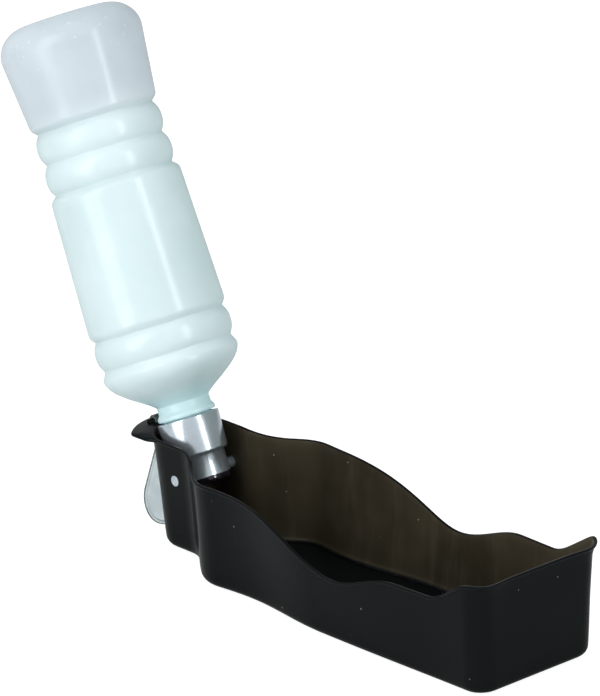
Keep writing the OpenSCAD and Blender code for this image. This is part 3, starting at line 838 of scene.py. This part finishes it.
def bottle_material():
    m = Nodes("bottle_plastic")
    s, q = along_axis(m, m.coords()[0])
    cloud = m.noise(q, 26.0, 3.0, 0.55)
    stretch = m.noise(m.scaled(q, (60.0, 60.0, 14.0)), 1.0, 3.0, 0.6)
    fine = m.noise(q, 700.0, 3.0)
    filled = m.map(s, 186.0, 168.0)                 # water stands up to the foot's groove
    body = m.mixc(m.map(cloud, 0.3, 0.7), rgb(228, 239, 241), rgb(219, 234, 235))
    foot = m.mixc(m.map(cloud, 0.3, 0.7), rgb(224, 231, 236), rgb(214, 223, 228))
    neck = m.map(s, 46.0, 34.0)
    col = m.mixc(filled, foot, body)
    col = m.mixc(m.math("MULTIPLY", neck, 0.7), col, rgb(220, 247, 250))
    # drops of condensation inside the foot
    away, rnd = m.cells(q, 260.0)
    drop = m.math("MULTIPLY", m.map(away, 0.27, 0.15), m.map(rnd, 0.62, 0.66))
    drop = m.math("MULTIPLY", drop, m.map(s, 196.0, 208.0))
    col = m.mixc(m.math("MULTIPLY", drop, 0.35), col, rgb(248, 251, 252))
    rough = m.map(fine, 0.3, 0.7, 0.21, 0.27, "LINEAR")
    bs = m.principled(Base_Color=col, Roughness=rough, IOR=1.5)
    bs.inputs["Specular IOR Level"].default_value = 0.6
    h = m.math("ADD", m.math("MULTIPLY", stretch, 0.6), m.math("MULTIPLY", drop, 1.6))
    m.link(m.bump(h, 0.3, 0.0006), bs.inputs["Normal"])
    milky = m.blend(0.42, bs, m.coloured("BsdfTranslucent", col))
    # clearer where the surface faces the eye, and where no water stands behind it
    edge = m.add("LayerWeight")
    edge.inputs["Blend"].default_value = 0.35
    facing = m.map(edge.outputs["Facing"], 0.0, 0.8, 1.0, 0.0, "LINEAR")
    clear = m.math("MULTIPLY", facing, m.map(filled, 0.0, 1.0, 0.26, 0.07, "LINEAR"))
    return m.done(m.blend(clear, milky, m.add("BsdfTransparent")).outputs[0])


def cap_material():
    m = Nodes("cap_silver_plastic")
    q = along_axis(m, m.coords()[0])[1]
    flake = m.noise(q, 2600.0, 2.0, 0.7)
    wide = m.noise(q, 60.0, 2.0)
    streak = m.noise(m.scaled(q, (90.0, 90.0, 420.0)), 1.0, 3.0)
    col = m.mixc(m.map(flake, 0.3, 0.7), rgb(172, 184, 192), rgb(198, 208, 216))
    rough = m.map(wide, 0.3, 0.7, 0.20, 0.27, "LINEAR")
    bs = m.principled(Base_Color=col, Roughness=rough, Metallic=0.85, IOR=1.5)
    h = m.math("ADD", m.math("MULTIPLY", streak, 0.5), m.math("MULTIPLY", flake, 0.05))
    m.link(m.bump(h, 0.18, 0.0003), bs.inputs["Normal"])
    return m.done(bs.outputs[0])


def ring_material():
    m = Nodes("ring_black_gloss")
    p = m.coords()[0]
    n1 = m.noise(p, 420.0, 3.0)
    col = m.mixc(m.map(n1, 0.35, 0.65), rgb(12, 12, 16), rgb(24, 24, 32))
    bs = m.principled(Base_Color=col, Roughness=m.map(n1, 0.3, 0.7, 0.08, 0.16, "LINEAR"), IOR=1.55)
    m.link(m.bump(n1, 0.2, 0.0003), bs.inputs["Normal"])
    return m.done(bs.outputs[0])


def rubber_material(name, a, b):
    m = Nodes(name)
    p = m.coords()[0]
    n1 = m.noise(p, 650.0, 4.0, 0.6)
    bs = m.principled(Base_Color=m.mixc(m.map(n1, 0.3, 0.7), a, b),
                      Roughness=m.map(n1, 0.3, 0.7, 0.5, 0.65, "LINEAR"))
    m.link(m.bump(n1, 0.15, 0.0002), bs.inputs["Normal"])
    return m.done(bs.outputs[0])


def clip_material():
    m = Nodes("clip_clear_plastic")
    p, nrm = m.coords()
    n1 = m.noise(p, 160.0, 3.0)
    n2 = m.noise(p, 1500.0, 2.0)
    col = m.mixc(m.map(n1, 0.3, 0.7), rgb(220, 231, 234), rgb(205, 217, 221))
    # painted shade: faces that tilt away from the flat faces, along the edges and round the bead, rib and
    # nub, are painted darker; a strip over the rib is drawn deeper in colour
    y, z = m.xyz(p)[1:]
    painted_edge_shade = m.map(m.math("ABSOLUTE", m.xyz(nrm)[0]), 0.995, 0.86)
    rib = m.math("MULTIPLY", m.map(m.math("ABSOLUTE", y), RIB_W1 * MM, RIB_W0 * MM),
                 m.map(z, 0.0172, 0.0186))
    col = m.mixc(m.math("MULTIPLY", rib, 0.8), col, rgb(122, 136, 140))
    col = m.mixc(m.math("MULTIPLY", painted_edge_shade, 0.9), col, rgb(84, 98, 102))
    bs = m.principled(Base_Color=col, Roughness=m.map(n2, 0.3, 0.7, 0.05, 0.14, "LINEAR"), IOR=1.49)
    bs.inputs["Transmission Weight"].default_value = 0.8
    m.link(m.bump(n1, 0.25, 0.0004), bs.inputs["Normal"])
    return m.done(bs.outputs[0])


def dress(ob, mat):
    """Gives ob its one material."""
    ob.data.materials.clear()
    ob.data.materials.append(mat)


dress(trough, trough_material())
dress(bottle, bottle_material())
dress(cap, cap_material())
dress(ring, ring_material())
dress(clip, clip_material())
dress(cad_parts["outlet_valve"],
      rubber_material("valve_silicone", rgb(22, 22, 25), rgb(34, 34, 38)))
dress(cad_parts["cap_washer"],
      rubber_material("washer_rubber_white", rgb(214, 216, 216), rgb(228, 229, 228)))

# ---------------------------------------------------------------- floor, light, camera
floor = add_mesh("floor", [(-6, -6, 0), (6, -6, 0), (6, 6, 0), (-6, 6, 0)], [(0, 1, 2, 3)], mm=False)
floor.location.z = -0.0002      # just under the trough


def floor_material():
    """White with a soft shadow to the camera, and a pale floor to the light that bounces off it."""
    m = Nodes("floor_pale")
    p = m.coords()[0]
    n1 = m.noise(p, 3.0, 2.0)
    seen = m.coloured("Emission", (1, 1, 1, 1))
    seen.inputs["Strength"].default_value = 0.86
    pale = m.mixc(m.map(n1, 0.3, 0.7), (0.70, 0.71, 0.71, 1), (0.74, 0.75, 0.75, 1))
    lit = m.coloured("BsdfDiffuse", pale)
    shade = m.coloured("BsdfDiffuse", (0.34, 0.34, 0.34, 1))
    both = m.add("AddShader")
    m.link(seen.outputs[0], both.inputs[0])
    m.link(shade.outputs[0], both.inputs[1])
    lp = m.add("LightPath")
    seen_by = m.math("MAXIMUM", lp.outputs["Is Camera Ray"], lp.outputs["Is Transmission Ray"])
    return m.done(m.blend(seen_by, lit, both).outputs[0])


dress(floor, floor_material())

# the camera was fitted to the photo's outlines; angles in degrees
CAM_AZ, CAM_EL, CAM_ROLL = 49.999, 19.668, -2.652
CAM_DIST, CAM_F, PHOTO_H = 2.291465, 5000.0, 696      # metres, then pixels of the photo
SENSOR = 36.0
TARGET = Vector((0.074648, 0.0, 0.117361))
LAMP_AIM = Vector((0.03, 0.0, 0.1))
DARK_AZ, DARK_EL = 108.0, 5.0      # middle of the dark side of the studio, az from the camera's azimuth


def basis(az, el, roll=0.0):
    """Right, up and back of something that looks at the object from az and el, in degrees."""
    a, e, r = (math.radians(v) for v in (az, el, roll))
    back = Vector((math.sin(a) * math.cos(e), -math.cos(a) * math.cos(e), math.sin(e)))
    right = (-back).cross(Vector((0, 0, 1))).normalized()
    up = right.cross(-back)
    return math.cos(r) * right + math.sin(r) * up, math.cos(r) * up - math.sin(r) * right, back


def studio_world():
    """A bright tent all round, with a darker part to the right of the camera, which itself sees white."""
    w = Nodes("studio", world=True)
    dot = w.add("VectorMath", operation="DOT_PRODUCT")
    w.link(w.add("TexCoord").outputs["Generated"], dot.inputs[0])
    dot.inputs[1].default_value = tuple(basis(CAM_AZ + DARK_AZ, DARK_EL)[2])
    dark = w.map(dot.outputs["Value"], 0.10, 0.75)
    tent = w.coloured("Background", w.mixc(dark, (0.85, 0.86, 0.87, 1), (0.31, 0.34, 0.33, 1)))
    white = w.coloured("Background", (1, 1, 1, 1))
    return w.done(w.blend(w.add("LightPath").outputs["Is Camera Ray"], tent, white).outputs[0])


def place(ob, at, right, up, back):
    """Stands ob at a point, turned to the three directions."""
    ob.matrix_world = Matrix.Translation(at) @ Matrix((right, up, back)).transposed().to_4x4()


def softbox(name, az, el, dist, w, h, power, color=(1, 1, 1)):
    """Area light at az to the right of the camera, as seen from the object, and el above the floor."""
    li = bpy.data.lights.new(name, "AREA")
    li.shape = "RECTANGLE"
    li.size, li.size_y = w, h
    li.energy = power
    li.color = color
    ob = bpy.data.objects.new(name, li)
    bpy.context.scene.collection.objects.link(ob)
    right, up, back = basis(CAM_AZ + az, el)
    place(ob, LAMP_AIM + back * dist, right, up, back)


softbox("key_left", -49, 22, 1.3, 0.62, 1.5, 12.5, (1.0, 0.985, 0.98))
softbox("strip_right", 45, 20, 1.2, 0.10, 1.3, 7.5)
softbox("top", -10, 78, 1.4, 0.9, 0.9, 2.6)

bpy.context.scene.world = studio_world()
cam_data = bpy.data.cameras.new("camera")
cam = bpy.data.objects.new("camera", cam_data)
bpy.context.scene.collection.objects.link(cam)
cam_data.sensor_width = SENSOR
cam_data.sensor_fit = "AUTO"
cam_data.lens = CAM_F * SENSOR / PHOTO_H
cam_data.clip_start = 0.05
cam_data.clip_end = 60.0
cam_data.dof.use_dof = False
c_right, c_up, c_back = basis(CAM_AZ, CAM_EL, CAM_ROLL)
place(cam, TARGET + c_back * CAM_DIST, c_right, c_up, c_back)
bpy.context.scene.camera = cam
bpy.context.scene.view_settings.view_transform = "Standard"
